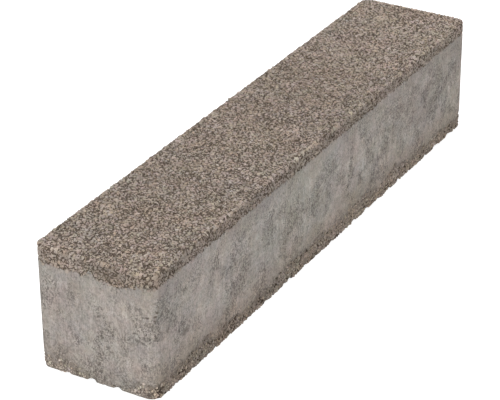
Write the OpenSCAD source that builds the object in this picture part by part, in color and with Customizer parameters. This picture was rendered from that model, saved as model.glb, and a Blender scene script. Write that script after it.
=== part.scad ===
// Concrete palisade: one cast block of square section with a washed long face.
// It lies with the washed face up: length along X, width along Y, underside at z = 0.
// The mould rounds the four upright corners, and each rim of the block is rolled over
// with its own radius, which follows the rounded corners all the way round. Washing
// rinses the cement skin off the upper face and off a band of the four sides below it,
// where the bared stone lies behind the skin: a low step runs round the whole block.

/* [Block] */
// Length of the block
length = 600; // [300:10:1200]
// Width of the block
width = 118; // [80:1:240]
// Height of the block as it lies
height = 120; // [60:1:240]

/* [Washed face] */
// How far the washed band reaches down the sides from the upper face
washed_band = 15; // [8:1:40]
// How far the bared stone of the band lies behind the cement skin
wash_step = 0.6; // [0.2:0.1:2]

/* [Edges] */
// Radius of the four upright corners
corner_r = 10; // [8:1:30]
// Radius of the rim round the washed face
washed_rim_r = 3; // [1:0.5:5]
// Radius of the rim round the underside
underside_rim_r = 2; // [1:0.5:5]

/* [Finish] */
// Segments of a full circle
curve_segments = 96; // [32:8:160]
// Colour of the concrete
concrete_colour = "#a39c8d";

/* [Hidden] */

// Distances from the middle of the block to the axes that the upright corners turn on
turn_x = length / 2 - corner_r;
turn_y = width / 2 - corner_r;

// What a rim takes off a square arris: the corner outside an arc of radius r.
// The arris is at the origin, and the block lies towards -X and -Y.
module arris_waste(r) {
    difference() {
        translate([-r, -r]) square(r);
        translate([-r, -r]) circle(r, $fn = curve_segments);
    }
}

// Upright section of the block's outer margin, reach wide from the inner axis to the
// cement skin: the washed band steps back from the skin and ends in the washed rim, and
// the underside rim is at the bottom.
module margin_section(reach) {
    washed_reach = reach - wash_step;
    difference() {
        union() {
            square([reach, height - washed_band]);
            square([washed_reach, height]);
        }
        translate([washed_reach, height]) arris_waste(washed_rim_r);
        translate([reach, 0]) mirror([0, 1]) arris_waste(underside_rim_r);
    }
}

// Straight stretch of margin that runs along X, centred, with its side at -Y
module side_run() {
    rotate([90, 0, -90])
        translate([0, 0, -turn_x])
            linear_extrude(2 * turn_x) margin_section(width / 2);
}

// Straight stretch of margin that runs along Y, centred, with its end face at +X
module end_run() {
    translate([turn_x, 0, 0])
        rotate([90, 0, 0])
            translate([0, 0, -turn_y])
                linear_extrude(2 * turn_y) margin_section(corner_r);
}

// One upright corner: the margin turned through a quarter circle, between +X and +Y
module corner_turn() {
    translate([turn_x, turn_y, 0])
        rotate_extrude(angle = 90, $fn = curve_segments) margin_section(corner_r);
}

module palisade() {
    color(concrete_colour)
        union() {
            for (side = [0, 1]) {
                mirror([0, side, 0]) side_run();
                mirror([side, 0, 0]) end_run();
                for (end = [0, 1])
                    mirror([end, 0, 0]) mirror([0, side, 0]) corner_turn();
            }
        }
}

palisade();
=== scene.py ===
"""Finishes the concrete palisade: its cast skin, washed stones, crumbled foot and studio stage."""

import math
import random

import bmesh
import bpy
from mathutils import Matrix, Vector, noise


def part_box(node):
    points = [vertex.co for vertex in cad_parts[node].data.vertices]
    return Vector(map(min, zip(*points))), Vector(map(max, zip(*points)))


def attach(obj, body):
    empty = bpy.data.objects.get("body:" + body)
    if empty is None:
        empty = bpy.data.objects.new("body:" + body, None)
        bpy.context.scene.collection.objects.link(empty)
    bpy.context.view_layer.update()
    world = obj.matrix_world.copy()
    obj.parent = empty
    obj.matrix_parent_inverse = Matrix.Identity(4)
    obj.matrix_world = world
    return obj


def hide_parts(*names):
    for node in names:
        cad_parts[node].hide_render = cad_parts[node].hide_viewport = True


bl_info = {
    "name": "Concrete Palisade",
    "version": (1, 0, 0),
    "blender": (4, 5, 0),
    "location": "View3D > Sidebar > Palisade",
    "description": "Models the skin and the washed stones of a concrete palisade",
    "category": "Object",
}

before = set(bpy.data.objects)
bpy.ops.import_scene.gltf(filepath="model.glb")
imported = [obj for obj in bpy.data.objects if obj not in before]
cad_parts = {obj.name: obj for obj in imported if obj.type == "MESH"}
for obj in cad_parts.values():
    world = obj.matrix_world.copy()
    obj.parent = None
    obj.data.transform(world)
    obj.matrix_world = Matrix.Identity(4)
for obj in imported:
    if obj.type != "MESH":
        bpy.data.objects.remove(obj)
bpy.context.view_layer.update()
LOW, HIGH = (Vector(corner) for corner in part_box("palisade"))
MIDDLE = (LOW + HIGH) / 2

MM = 0.001
TOUCH = 0.01 * MM
BAKE_MAP = "OFBake"
WASHED = "washed"
CRUMBLED = "crumbled"
CLOUDED = "clouded"
TONE = "tone"
STONE = "stone"
# Corner and rim of the block as cast, in millimetres, by which depth in the gaps is measured
OUTER_CORNER = 10.0
OUTER_RIM = 3.0
# Segments of the rolled corners, of the washed rim and of the foot's rim
CORNER_SEGMENTS = 8
WASHED_RIM_SEGMENTS = 3
FOOT_RIM_SEGMENTS = 2
# The skin is smooth, and its mesh coarse, from so far above the underside to so far below the top
SMOOTH_ABOVE = 30 * MM
SMOOTH_BELOW = 21 * MM
# Gap round the edges of the bake map's strips, and the height of a strip
BAKE_MARGIN = 0.004
BAKE_STRIP = 0.2
# Chord that flattens the near corner: its direction, and its distance as a share of the radius
CHORD_X = 0.848
CHORD_Y = 0.530
CHORD_REACH = 0.74
# How far the corner is pressed to the chord, and how much further up high, between two heights
PRESSED = 0.25
PRESSED_MORE = 0.45
PRESSED_RISE = (80 * MM, 87 * MM)
# The sharp arris beside the chord: the slopes it lies between, and the heights it grows over
ARRIS_SLOPES = (4.0, 6.5)
ARRIS_RISE = (78 * MM, 85 * MM)
ARRIS_LOW = 84 * MM
# Scattered stones: least size and its spread as shares of the radius, how much rarer the big
# ones are, how far below its top a stone's middle lies, how far it tilts, and points to a cell
SIZE_LEAST = 0.78
SIZE_SPREAD = 0.75
SIZE_SKEW = 1.7
BEDDED = 0.8
TILT = 0.5
CROWDING = 8.0
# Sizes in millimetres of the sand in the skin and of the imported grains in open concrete
SAND_SIZE = 0.9
GRAIN_SIZE = 2.0
# How far the noise that frays a mark moves its edge, and where the edge then lies on average
WOBBLE_GAIN = 3.2
MARK_EDGE = 2.35
# How soft the edges of a tint and of a mark are
TINT_SOFTNESS = 0.80
MARK_SOFTNESS = 0.25
# Spreads the tone of a stone, so that its hue has nothing to do with its tone
HUE_SCATTER = 997.0
# Noise above which a pore opens: a higher one makes the pores rarer
PORE_LEAST = 0.765
# X between which the faces turn to the near end, in millimetres
END_EDGE = (-294.0, -299.0)
# Crumbled patches of the foot: X, Y, half the length and the climb, in millimetres
FOOT_PATCHES = (
    (-290.0, -60.0, 9.0, -5.0),
    (-232.0, -59.0, 22.0, 9.0),
    (-180.0, -59.0, 22.0, 4.0),
    (-105.0, -59.0, 18.0, 4.0),
    (-65.0, -59.0, 24.0, 8.0),
    (-20.0, -59.0, 20.0, 8.0),
    (25.0, -59.0, 20.0, 4.0),
    (66.0, -59.0, 22.0, 11.0),
    (115.0, -59.0, 18.0, 5.0),
    (148.0, -59.0, 20.0, 8.0),
    (205.0, -59.0, 30.0, 4.0),
    (250.0, -59.0, 16.0, 4.0),
    (-300.0, -48.0, 20.0, 15.0),
    (-300.0, 30.0, 22.0, 13.0),
    (-300.0, 54.0, 10.0, 8.0),
    (-300.0, -18.0, 9.0, 4.0),
)
# Clouds in the skin: place, reach in millimetres, and how dark and rough, or pale if below 0
CLOUDS = (
    ((-300.0, 44.0, 90.0), 9.0, 0.6),
    ((-300.0, 19.0, 84.0), 8.0, 0.9),
    ((-300.0, 42.0, 62.0), 9.0, 0.3),
    ((-300.0, 20.0, 66.0), 6.0, 0.5),
    ((-300.0, 3.0, 45.0), 8.0, 0.9),
    ((-300.0, -14.0, 45.0), 10.0, 0.8),
    ((-300.0, -44.0, 57.0), 8.0, 0.4),
    ((-300.0, -31.0, 30.0), 9.0, 0.9),
    ((-300.0, -8.0, 28.0), 11.0, 0.5),
    ((-300.0, 28.0, 18.0), 10.0, 0.3),
    ((-300.0, 8.0, 17.0), 9.0, 1.4),
    ((-300.0, -14.0, 14.0), 11.0, -0.4),
    ((-300.0, 10.0, 75.0), 15.0, -1.0),
    ((-300.0, -25.0, 68.0), 9.0, -1.0),
    ((-300.0, 26.0, 52.0), 12.0, -1.8),
    ((-300.0, -2.0, 95.0), 9.0, -0.8),
    ((-300.0, -34.0, 94.0), 10.0, -0.8),
    ((-300.0, 11.0, 32.0), 7.0, -0.9),
    ((-300.0, 36.0, 38.0), 13.0, -1.2),
    ((-300.0, -48.0, 46.0), 12.0, -1.4),
    ((-286.0, -59.0, 62.0), 14.0, 0.5),
    ((-258.0, -59.0, 92.0), 11.0, 0.8),
    ((-260.0, -59.0, 48.0), 13.0, 0.9),
    ((-180.0, -59.0, 68.0), 9.0, 0.6),
    ((-163.0, -59.0, 50.0), 11.0, 0.7),
    ((-116.0, -59.0, 85.0), 11.0, 0.8),
    ((-121.0, -59.0, 38.0), 8.0, 0.5),
    ((-74.0, -59.0, 55.0), 14.0, 0.7),
    ((-32.0, -59.0, 62.0), 12.0, 0.3),
    ((-45.0, -59.0, 44.0), 13.0, -1.0),
    ((10.0, -59.0, 77.0), 13.0, 0.6),
    ((25.0, -59.0, 45.0), 15.0, -1.2),
    ((165.0, -59.0, 76.0), 18.0, 0.8),
    ((228.0, -59.0, 84.0), 24.0, 0.9),
    ((200.0, -59.0, 46.0), 18.0, -0.2),
    ((-207.0, -59.0, 60.0), 13.0, -0.8),
    ((-225.0, -59.0, 88.0), 14.0, -0.5),
    ((-140.0, -59.0, 95.0), 22.0, -0.4),
    ((-98.0, -59.0, 68.0), 12.0, -0.5),
    ((60.0, -59.0, 62.0), 22.0, -0.5),
    ((-212.0, -59.0, 28.0), 18.0, -1.4),
)
# Marks in the skin: centre and reach in millimetres, colour, strength; a few are painted shade
DARK_GRAIN = (0.085, 0.062, 0.046)
PALE_SPOT = (0.360, 0.326, 0.296)
SKIN_MARKS = (
    # Thin line beside the tan strip
    ((-300.0, -46.8, 96.0), (4.0, 0.9, 11.0), (0.230, 0.203, 0.180), 0.30),
    # Level line of painted shade that ends in the nick, and the painted shade under the nick's
    # edge
    ((-300.0, -48.0, 82.4), (4.0, 6.0, 0.8), (0.190, 0.166, 0.146), 0.50),
    ((-299.9, -50.8, 79.0), (5.0, 4.4, 1.3), (0.100, 0.084, 0.072), 0.90),
    ((-300.0, -51.0, 76.8), (4.0, 2.6, 1.9), (0.232, 0.202, 0.194), 0.70),
    # Small dark grains round the corner
    ((-297.5, -55.6, 83.9), (1.8, 1.6, 1.3), DARK_GRAIN, 0.75),
    ((-294.9, -57.7, 80.4), (1.9, 1.9, 1.3), DARK_GRAIN, 0.80),
    ((-293.6, -58.4, 83.6), (1.7, 1.7, 1.2), DARK_GRAIN, 0.60),
    ((-295.9, -57.1, 76.5), (1.7, 1.7, 1.1), (0.105, 0.083, 0.067), 0.55),
    # Smudge past the corner
    ((-287.7, -59.0, 80.0), (2.2, 3.0, 3.4), (0.120, 0.104, 0.092), 0.75),
    ((-284.5, -59.0, 85.0), (6.5, 3.0, 5.5), (0.195, 0.171, 0.161), 0.40),
    # Dark cluster low on the long side
    ((-252.6, -59.0, 44.5), (7.0, 3.0, 4.5), (0.150, 0.130, 0.114), 0.70),
    # Pale spots on the end, one of them in a dark ring
    ((-300.0, -41.5, 59.0), (3.0, 4.4, 4.6), (0.190, 0.166, 0.148), 0.45),
    ((-300.0, -41.5, 59.0), (3.0, 2.8, 2.9), (0.385, 0.350, 0.320), 0.95),
    ((-300.0, -9.0, 43.0), (3.0, 5.0, 4.4), PALE_SPOT, 0.85),
    ((-300.0, -18.5, 41.0), (3.0, 3.4, 5.0), PALE_SPOT, 0.75),
    ((-300.0, 1.0, 48.0), (3.0, 3.6, 3.8), PALE_SPOT, 0.80),
    ((-300.0, 7.0, 31.0), (3.0, 5.0, 5.0), (0.345, 0.306, 0.268), 0.60),
)
# Soft tints of the skin: centre and reach in millimetres, and the colour to multiply by
TINTS = (
    # Greenish cloud on the long side
    ((-75.0, -59.0, 80.0), (105.0, 6.0, 44.0), (0.990, 1.018, 1.010)),
    # Paler stretch under it
    ((-60.0, -59.0, 52.0), (115.0, 6.0, 32.0), (1.050, 1.050, 1.050)),
    # Tan strip down the near corner
    ((-298.0, -55.0, 98.0), (7.5, 7.5, 15.0), (0.995, 0.985, 0.930)),
    # Pale corner of the end
    ((-300.0, -37.0, 95.0), (6.0, 14.0, 17.0), (1.110, 1.110, 1.105)),
    ((-300.0, 23.0, 99.0), (6.0, 13.0, 8.0), (1.060, 1.060, 1.055)),
    # Darker stretches of the long side
    ((-291.0, -59.0, 62.0), (26.0, 4.0, 46.0), (0.900, 0.890, 0.890)),
    ((250.0, -59.0, 94.0), (90.0, 6.0, 40.0), (0.905, 0.900, 0.895)),
    # Paler stretch high on the near half
    ((-150.0, -59.0, 82.0), (75.0, 6.0, 34.0), (1.050, 1.050, 1.050)),
)
# The same for the washed stones
STONE_TINTS = (
    ((-300.0, -16.0, 109.0), (6.0, 17.0, 8.0), (0.850, 0.830, 0.810)),
    ((-300.0, 26.0, 109.0), (6.0, 20.0, 8.0), (1.170, 1.160, 1.140)),
    ((-300.0, -39.0, 110.0), (6.0, 9.0, 8.0), (1.060, 1.055, 1.050)),
    ((-280.0, 5.0, 120.0), (30.0, 65.0, 12.0), (0.965, 0.960, 0.950)),
    ((-85.0, 0.0, 120.0), (75.0, 70.0, 30.0), (1.050, 1.050, 1.050)),
    ((75.0, 0.0, 120.0), (55.0, 70.0, 30.0), (0.960, 0.955, 0.950)),
    ((255.0, 0.0, 115.0), (120.0, 100.0, 60.0), (1.200, 1.205, 1.210)),
    ((40.0, -59.0, 110.0), (260.0, 7.0, 9.0), (1.060, 1.060, 1.060)),
)
# The same for the crumbled foot: paler on the near end, darker beside it, paler further along
FOOT_TINTS = (
    ((-300.0, 0.0, 5.0), (7.0, 110.0, 40.0), (1.370, 1.430, 1.490)),
    ((-298.0, -57.0, 4.0), (7.0, 6.0, 10.0), (1.200, 1.160, 1.120)),
    ((-215.0, -59.0, 8.0), (90.0, 14.0, 30.0), (0.930, 0.925, 0.920)),
    ((70.0, -59.0, 8.0), (190.0, 14.0, 30.0), (1.070, 1.070, 1.070)),
)
# Shades of the washed stones and of the crumbs, by each stone's tone
STONE_SHADES = (
    (0.00, (0.215, 0.173, 0.140)),
    (0.20, (0.296, 0.242, 0.201)),
    (0.55, (0.340, 0.280, 0.236)),
    (0.88, (0.374, 0.312, 0.266)),
    (0.97, (0.415, 0.354, 0.305)),
    (0.985, (0.390, 0.300, 0.235)),
    (1.00, (0.450, 0.392, 0.340)),
)
CRUMB_SHADES = (
    (0.00, (0.250, 0.204, 0.165)),
    (0.30, (0.322, 0.265, 0.217)),
    (0.80, (0.364, 0.304, 0.251)),
    (1.00, (0.420, 0.360, 0.305)),
)
# Dark colour that crumbs lying deep in the foot are painted towards: painted shade, with grime
CRUMB_SHADE_AND_DIRT = (0.120, 0.086, 0.060)
# Each stone's own hue: what its least red, green and blue are multiplied by, and the spread
HUE_LOW = (0.938, 0.985, 0.905)
HUE_SPREAD = (0.115, 0.030, 0.180)
# Shell-shaped nick in the near corner: middle of its upper edge, half its width, how far it
# runs down, and its depth
NICK = Vector((-0.2998, -0.0510, 0.0800))
NICK_WIDTH = 4.6 * MM
NICK_DROP = 6.0 * MM
NICK_DEPTH = 0.9 * MM
# Bigger stones, most of them near the near corner: place and radius in millimetres, and tone
BIG_STONES = (
    ((-293.8, -57.6, 116.6), 3.6, 0.45),
    ((-298.4, -43.6, 118.4), 2.6, 0.985),
    ((-275.6, -25.5, 119.3), 2.8, 0.97),
    ((-272.1, 35.1, 119.3), 2.6, 0.80),
    ((-276.0, -7.0, 119.4), 2.3, 0.85),
    ((-299.4, -48.5, 110.5), 2.6, 0.70),
    ((-296.8, -54.9, 112.6), 2.5, 0.80),
    ((-297.6, -53.2, 116.6), 2.3, 0.90),
    ((-298.4, -52.5, 109.5), 2.4, 0.75),
)


# Settings


def length_setting(name, description, default):
    """A setting that is a length in metres."""
    return bpy.props.FloatProperty(
        name=name, description=description, default=default, unit="LENGTH"
    )


def angle_setting(name, description, degrees):
    """A setting that is an angle, given here in degrees."""
    return bpy.props.FloatProperty(
        name=name, description=description, default=math.radians(degrees), subtype="ANGLE"
    )


def colour_setting(name, description, default):
    """A setting that is a colour."""
    return bpy.props.FloatVectorProperty(
        name=name, description=description, default=default, subtype="COLOR", size=3
    )


class PalisadeCastSettings(bpy.types.PropertyGroup):
    """Sizes and colours of the mould-cast faces"""

    corner_radius: length_setting("Corner radius", "Radius of the four upright corners", 0.010)
    washed_rim_radius: length_setting(
        "Washed rim radius", "Radius of the rim round the washed face", 0.0025
    )
    foot_rim_radius: length_setting(
        "Foot rim radius", "Radius of the rim round the underside", 0.0012
    )
    waviness: length_setting("Waviness", "How far the cast faces dip", 0.00012)
    grid_step: length_setting(
        "Grid step", "Distance between the lines of the mesh along the block and across it", 0.002
    )
    colour: colour_setting("Colour", "Cement skin of the cast faces", (0.354, 0.319, 0.288))
    grey_colour: colour_setting(
        "Grey clouds", "Damp grey clouds in the cement skin", (0.206, 0.185, 0.164)
    )
    pink_colour: colour_setting(
        "Pink clouds", "Warm pinkish clouds in the cement skin", (0.284, 0.250, 0.228)
    )
    # Pores are painted this dark as painted shade inside the holes
    pore_shade_colour: colour_setting(
        "Pores", "Bottom of the pores in open concrete", (0.043, 0.028, 0.018)
    )
    # Dark flecks are the skin's own colour; the pin holes get it as painted shade
    fleck_and_pit_shade_colour: colour_setting(
        "Flecks", "Dark flecks and pin holes in the cement skin", (0.092, 0.078, 0.067)
    )
    warm_colour: colour_setting(
        "Warm foot", "Tan tinge of the skin just above the crumbled foot", (0.290, 0.248, 0.211)
    )


class PalisadeWashedSettings(bpy.types.PropertyGroup):
    """Sizes and colours of the washed face"""

    side_band: length_setting(
        "Band on the sides", "How far the wash reaches down the long sides", 0.0135
    )
    end_band: length_setting("Band on the ends", "How far the wash reaches down the ends", 0.0165)
    wash_depth: length_setting(
        "Wash depth", "How much cement is rinsed out between the stones", 0.0009
    )
    stone_spacing: length_setting(
        "Stone spacing", "Least distance between the middles of two stones", 0.0033
    )
    stone_radius: length_setting("Stone radius", "Mean radius of the stones", 0.0029)
    grit_spacing: length_setting(
        "Grit spacing", "Least distance between the middles of two grains of grit", 0.0022
    )
    grit_radius: length_setting("Grit radius", "Mean radius of the grit", 0.00135)
    # Mortar of the rinsed gaps; stones lying deep in the gaps are painted towards it as shade
    mortar_and_shade_colour: colour_setting(
        "Mortar", "Rinsed mortar at the bottom of the gaps", (0.160, 0.123, 0.094)
    )
    # Mortar left on the stones of the band, which also darkens the band as painted shade
    film_and_shade_colour: colour_setting(
        "Mortar film", "Mortar left on the stones of the band", (0.244, 0.206, 0.177)
    )


class PalisadeFootSettings(bpy.types.PropertyGroup):
    """Sizes and colours of the crumbled foot"""

    foot_height: length_setting(
        "Foot height", "Height of the open, crumbled concrete above the underside", 0.010
    )
    patch_height: length_setting(
        "Patch height",
        "How much higher the crumbled patches climb on the back and the far end",
        0.022,
    )
    foot_depth: length_setting(
        "Foot depth", "How far the crumbled concrete lies behind the cast faces", 0.0010
    )
    chip_depth: length_setting(
        "Chip depth", "How far the rim round the underside is chipped away upwards", 0.0055
    )
    crumb_spacing: length_setting(
        "Crumb spacing", "Least distance between the middles of two crumbs", 0.0026
    )
    crumb_radius: length_setting("Crumb radius", "Mean radius of the crumbs", 0.0017)
    colour: colour_setting("Colour", "Open brown concrete of the foot", (0.312, 0.257, 0.209))


class PalisadeStageSettings(bpy.types.PropertyGroup):
    """Floor, lamps and camera"""

    floor_size: length_setting("Floor size", "Side of the studio floor", 12.0)
    azimuth: angle_setting(
        "Azimuth", "Camera's turn about the block, from looking along +Y", -59.74
    )
    elevation: angle_setting("Elevation", "Camera's height above the horizon", 28.38)
    roll: angle_setting("Roll", "Camera's turn about its own view", -0.48)
    distance: length_setting("Distance", "From the camera to what it aims at", 1.9006)
    aim_across: length_setting(
        "Aim across", "How far right of the block's middle the camera aims", -0.02137
    )
    aim_up: length_setting("Aim up", "How far above the block's middle the camera aims", -0.02260)
    lens: bpy.props.FloatProperty(
        name="Lens",
        description="Focal length on a sensor 36 mm wide",
        default=145.5,
        min=1.0,
    )


# Meshes


def new_piece(name, bm, material):
    """Makes an object at the origin from a bmesh."""
    mesh = bpy.data.meshes.new(name)
    bm.to_mesh(mesh)
    bm.free()
    return new_object(name, mesh, material)


def new_object(name, mesh, material):
    """Puts a mesh in the scene as an object with one material."""
    piece = bpy.data.objects.new(name, mesh)
    bpy.context.scene.collection.objects.link(piece)
    mesh.materials.clear()
    mesh.materials.append(material)
    return piece


def ease(low, high, value):
    """0 below low, 1 above high and a smooth step between them."""
    share = min(max((value - low) / (high - low), 0.0), 1.0)
    return share * share * (3.0 - 2.0 * share)


def rough(place, size, seed=0.0):
    """Smooth noise from -1 to 1 with lumps about as big as size."""
    return noise.noise(place / size + Vector((seed, seed, seed)))


def roll_edges(bm, edges, radius, segments):
    """Rounds edges to a radius."""
    bmesh.ops.bevel(
        bm,
        geom=edges,
        offset=radius,
        offset_type="OFFSET",
        segments=segments,
        profile=0.5,
        affect="EDGES",
        material=-1,
    )


def level_edges(bm, height):
    """The edges that lie level at a height."""
    return [e for e in bm.edges if all(abs(v.co.z - height) < TOUCH for v in e.verts)]


def slice_across(bm, axis, places):
    """Cuts the mesh square to an axis at each place along it."""
    normal = Vector((0.0, 0.0, 0.0))
    normal[axis] = 1.0
    for place in places:
        bmesh.ops.bisect_plane(
            bm,
            geom=bm.verts[:] + bm.edges[:] + bm.faces[:],
            dist=TOUCH,
            plane_co=normal * place,
            plane_no=normal,
        )


def steps(start, stop, step):
    """Places from start to stop, evenly spaced by about step, both ends included."""
    count = max(1, round((stop - start) / step))
    return [start + (stop - start) * k / count for k in range(count + 1)]


def rolled_block(cast):
    """The block as the mould leaves it, with its corners and its rims rolled."""
    bm = bmesh.new()
    bmesh.ops.create_cube(
        bm,
        size=1.0,
        matrix=Matrix.Translation(MIDDLE) @ Matrix.Diagonal((*(HIGH - LOW), 1.0)),
    )
    upright = [e for e in bm.edges if abs(e.verts[0].co.z - e.verts[1].co.z) > TOUCH]
    roll_edges(bm, upright, cast.corner_radius, CORNER_SEGMENTS)
    roll_edges(bm, level_edges(bm, HIGH.z), cast.washed_rim_radius, WASHED_RIM_SEGMENTS)
    roll_edges(bm, level_edges(bm, LOW.z), cast.foot_rim_radius, FOOT_RIM_SEGMENTS)
    return bm


def cut_grid(bm, cast):
    """Lines close together where the face is rough, and wide apart where it is smooth."""
    step = cast.grid_step
    # Stretches up the block: where each ends, and how far apart its rows are, in steps
    stretches = (
        (LOW.z + SMOOTH_ABOVE, 0.75),
        (NICK.z - NICK_DROP, 2.0),
        (NICK.z + 2 * MM, 0.5),
        (HIGH.z - SMOOTH_BELOW, 2.0),
        (HIGH.z - cast.washed_rim_radius, 0.6),
    )
    rows = []
    start = LOW.z + cast.foot_rim_radius
    for stop, share in stretches:
        rows += steps(start, stop, share * step)[:-1]
        start = stop
    slice_across(bm, 2, rows[1:])
    turn_y = HIGH.y - cast.corner_radius
    turn_x = HIGH.x - cast.corner_radius
    slice_across(bm, 1, steps(-turn_y, turn_y, step))
    margin = steps(turn_x, HIGH.x - cast.washed_rim_radius, step)
    slice_across(bm, 0, [-x for x in margin] + margin)
    margin = steps(turn_y, HIGH.y - cast.washed_rim_radius, step)[1:]
    slice_across(bm, 1, [-y for y in margin] + margin)
    along = [e for e in bm.edges if e.calc_length() > turn_x]
    bmesh.ops.subdivide_edges(
        bm, edges=along, cuts=round(2.0 * turn_x / step) - 1, use_grid_fill=True
    )


def settle_order(bm):
    """Orders the faces by their corners, because a bevel leaves them in another order each run."""
    bm.verts.index_update()
    count = len(bm.verts)
    bm.faces.sort(key=lambda face: face.verts[0].index * count + face.verts[1].index)


def wash_reach(place, washed, cast):
    """How far inside the washed zone a place lies, in metres, or below 0 outside it."""
    on_end = ease(HIGH.x - cast.corner_radius, HIGH.x - 2 * MM, abs(place.x))
    band = washed.side_band + (washed.end_band - washed.side_band) * on_end
    if place.x < 0:
        sag = ease(22 * MM, 6 * MM, abs(place.y + 16 * MM))
        tongue = math.exp(-(((place.y - 2 * MM) / (2.6 * MM)) ** 2))
        rise = ease(-32 * MM, -54 * MM, place.y)
        band += on_end * (2.0 * sag - 6.5 * tongue - 4.0 * rise) * MM
    band += 1.0 * MM * rough(place, 30 * MM, 3.0)
    band += 1.3 * MM * rough(place, 7 * MM, 5.0)
    band += 1.0 * MM * rough(place, 3 * MM, 15.0)
    return band - (HIGH.z - place.z)


def pit_share(place):
    """How far a place of the washed face lies in a pit that holds no stone, from 0 to 1."""
    return ease(0.50, 0.60, rough(place, 4.5 * MM, 27.0))


def crumble_reach(place, foot):
    """How far inside the crumbled foot a place lies, in metres, or below 0 outside it."""
    flat = Vector((place.x, place.y, 0.0))
    on_end = ease(-291 * MM, -299 * MM, place.x)
    height = foot.foot_height * (1.0 - on_end) - 1.0 * MM * on_end
    for x, y, half, climb in FOOT_PATCHES:
        away = (flat - Vector((x, y, 0.0)) * MM).length
        height += climb * MM * math.exp(-((away / (half * MM)) ** 2))
    unseen = max(ease(0.0, 40 * MM, place.y), ease(285 * MM, 298 * MM, place.x))
    unseen *= 1.0 - on_end
    height += unseen * foot.patch_height * max(0.0, rough(flat, 62 * MM, 1.7))
    height += 4.0 * MM * rough(place, 14 * MM, 2.0)
    height += 3.0 * MM * rough(place, 5 * MM, 4.0)
    height += 1.5 * MM * rough(place, 2.5 * MM, 14.0)
    return height - (place.z - LOW.z)


def press_corner(vert, cast):
    """Flattens the near corner towards a chord, and says whether the vertex is on its arris."""
    place = vert.co
    middle = Vector((LOW.x + cast.corner_radius, LOW.y + cast.corner_radius, place.z))
    spoke = place - middle
    if spoke.x > -TOUCH or spoke.y > 2 * MM:
        return place.copy(), False
    along_x, along_y = -spoke.x / spoke.length, -spoke.y / spoke.length
    facing = CHORD_X * along_x + CHORD_Y * along_y
    to_square = cast.corner_radius / max(along_x, along_y)
    to_chord = CHORD_REACH * cast.corner_radius / facing
    reach = min(to_square, to_chord)
    share = PRESSED + PRESSED_MORE * ease(*PRESSED_RISE, place.z)
    on_arris = ARRIS_SLOPES[0] < along_y / max(along_x, TOUCH) < ARRIS_SLOPES[1]
    if on_arris:
        share = ease(*ARRIS_RISE, place.z)
    pressed = middle + spoke * (1.0 + share * (reach / spoke.length - 1.0))
    return pressed, on_arris and place.z > ARRIS_LOW


def cloudiness(place):
    """How dark and rough the clouds make the skin at a place, or how pale if below 0."""
    total = 0.0
    for middle, reach, strength in CLOUDS:
        away = (place / MM - Vector(middle)).length / reach
        total += strength * math.exp(-(away**2))
    return total


def nick_depth(place):
    """Depth of the nick at a place: steepest under its upper edge, and run out below."""
    drop = (NICK.z - place.z) / NICK_DROP
    sideways = Vector((place.x - NICK.x, place.y - NICK.y)).length / NICK_WIDTH
    inside = ease(1.0, 0.75, math.hypot(sideways, drop)) * ease(-0.06, 0.06, drop)
    return NICK_DEPTH * inside * (1.0 - 0.8 * min(max(drop, 0.0), 1.0))


def weather(bm, cast, washed, foot):
    """Rinses and crumbles the block, and notes on each vertex how far it went."""
    bm.normal_update()
    wash_note = bm.verts.layers.float.new(WASHED)
    crumble_note = bm.verts.layers.float.new(CRUMBLED)
    cloud_note = bm.verts.layers.float.new(CLOUDED)
    moved = []
    arris = set()
    for vert in bm.verts:
        out = vert.normal.copy()
        wash = wash_reach(vert.co, washed, cast)
        crumble = crumble_reach(vert.co, foot)
        place, on_arris = press_corner(vert, cast)
        if on_arris and wash < -1 * MM:
            arris.add(vert)
        vert[wash_note] = wash / MM
        vert[crumble_note] = crumble / MM
        vert[cloud_note] = cloudiness(vert.co)
        rinsed = ease(-0.6 * MM, 0.8 * MM, wash) * (1.0 - 0.35 * abs(out.x))
        crumbled = ease(-5.0 * MM, 3.5 * MM, crumble) * (1.0 - max(0.0, -out.z))
        crumbled *= 1.0 - 0.4 * max(0.0, -out.x)
        depth = cast.waviness * (0.5 + 0.5 * rough(place, 34 * MM, 9.0)) + nick_depth(vert.co)
        depth += rinsed * washed.wash_depth * (1.0 + 0.35 * rough(place, 6 * MM, 6.0))
        depth += rinsed * washed.wash_depth * 0.8 * pit_share(place)
        depth += crumbled * foot.foot_depth * (1.0 + 0.8 * rough(place, 4 * MM, 7.0))
        from_side = min(HIGH.x - abs(place.x), HIGH.y - abs(place.y))
        on_rim = ease(8 * MM, 2 * MM, from_side)
        from_corner = Vector((place.x - LOW.x, place.y - LOW.y)).length
        top_rim = on_rim * ease(6 * MM, 1 * MM, HIGH.z - place.z)
        top_rim *= ease(12 * MM, 25 * MM, from_corner)
        depth += top_rim * 1.6 * MM * max(0.0, rough(place, 8 * MM, 12.0) - 0.28)
        low_rim = on_rim * ease(7 * MM, 1 * MM, place.z - LOW.z)
        chip = low_rim * max(0.0, rough(place, 13 * MM, 11.0) - 0.25)
        chip *= 0.95 + 2.3 * abs(out.x)
        chip += 0.5 * low_rim * max(0.0, rough(place, 4 * MM, 16.0) - 0.10)
        place -= out * (depth + 1.3 * MM * chip)
        place.z += foot.chip_depth * chip
        moved.append((vert, place))
    for vert, place in moved:
        vert.co = place
    for edge in bm.edges:
        edge.smooth = not arris.issuperset(edge.verts)


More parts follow.
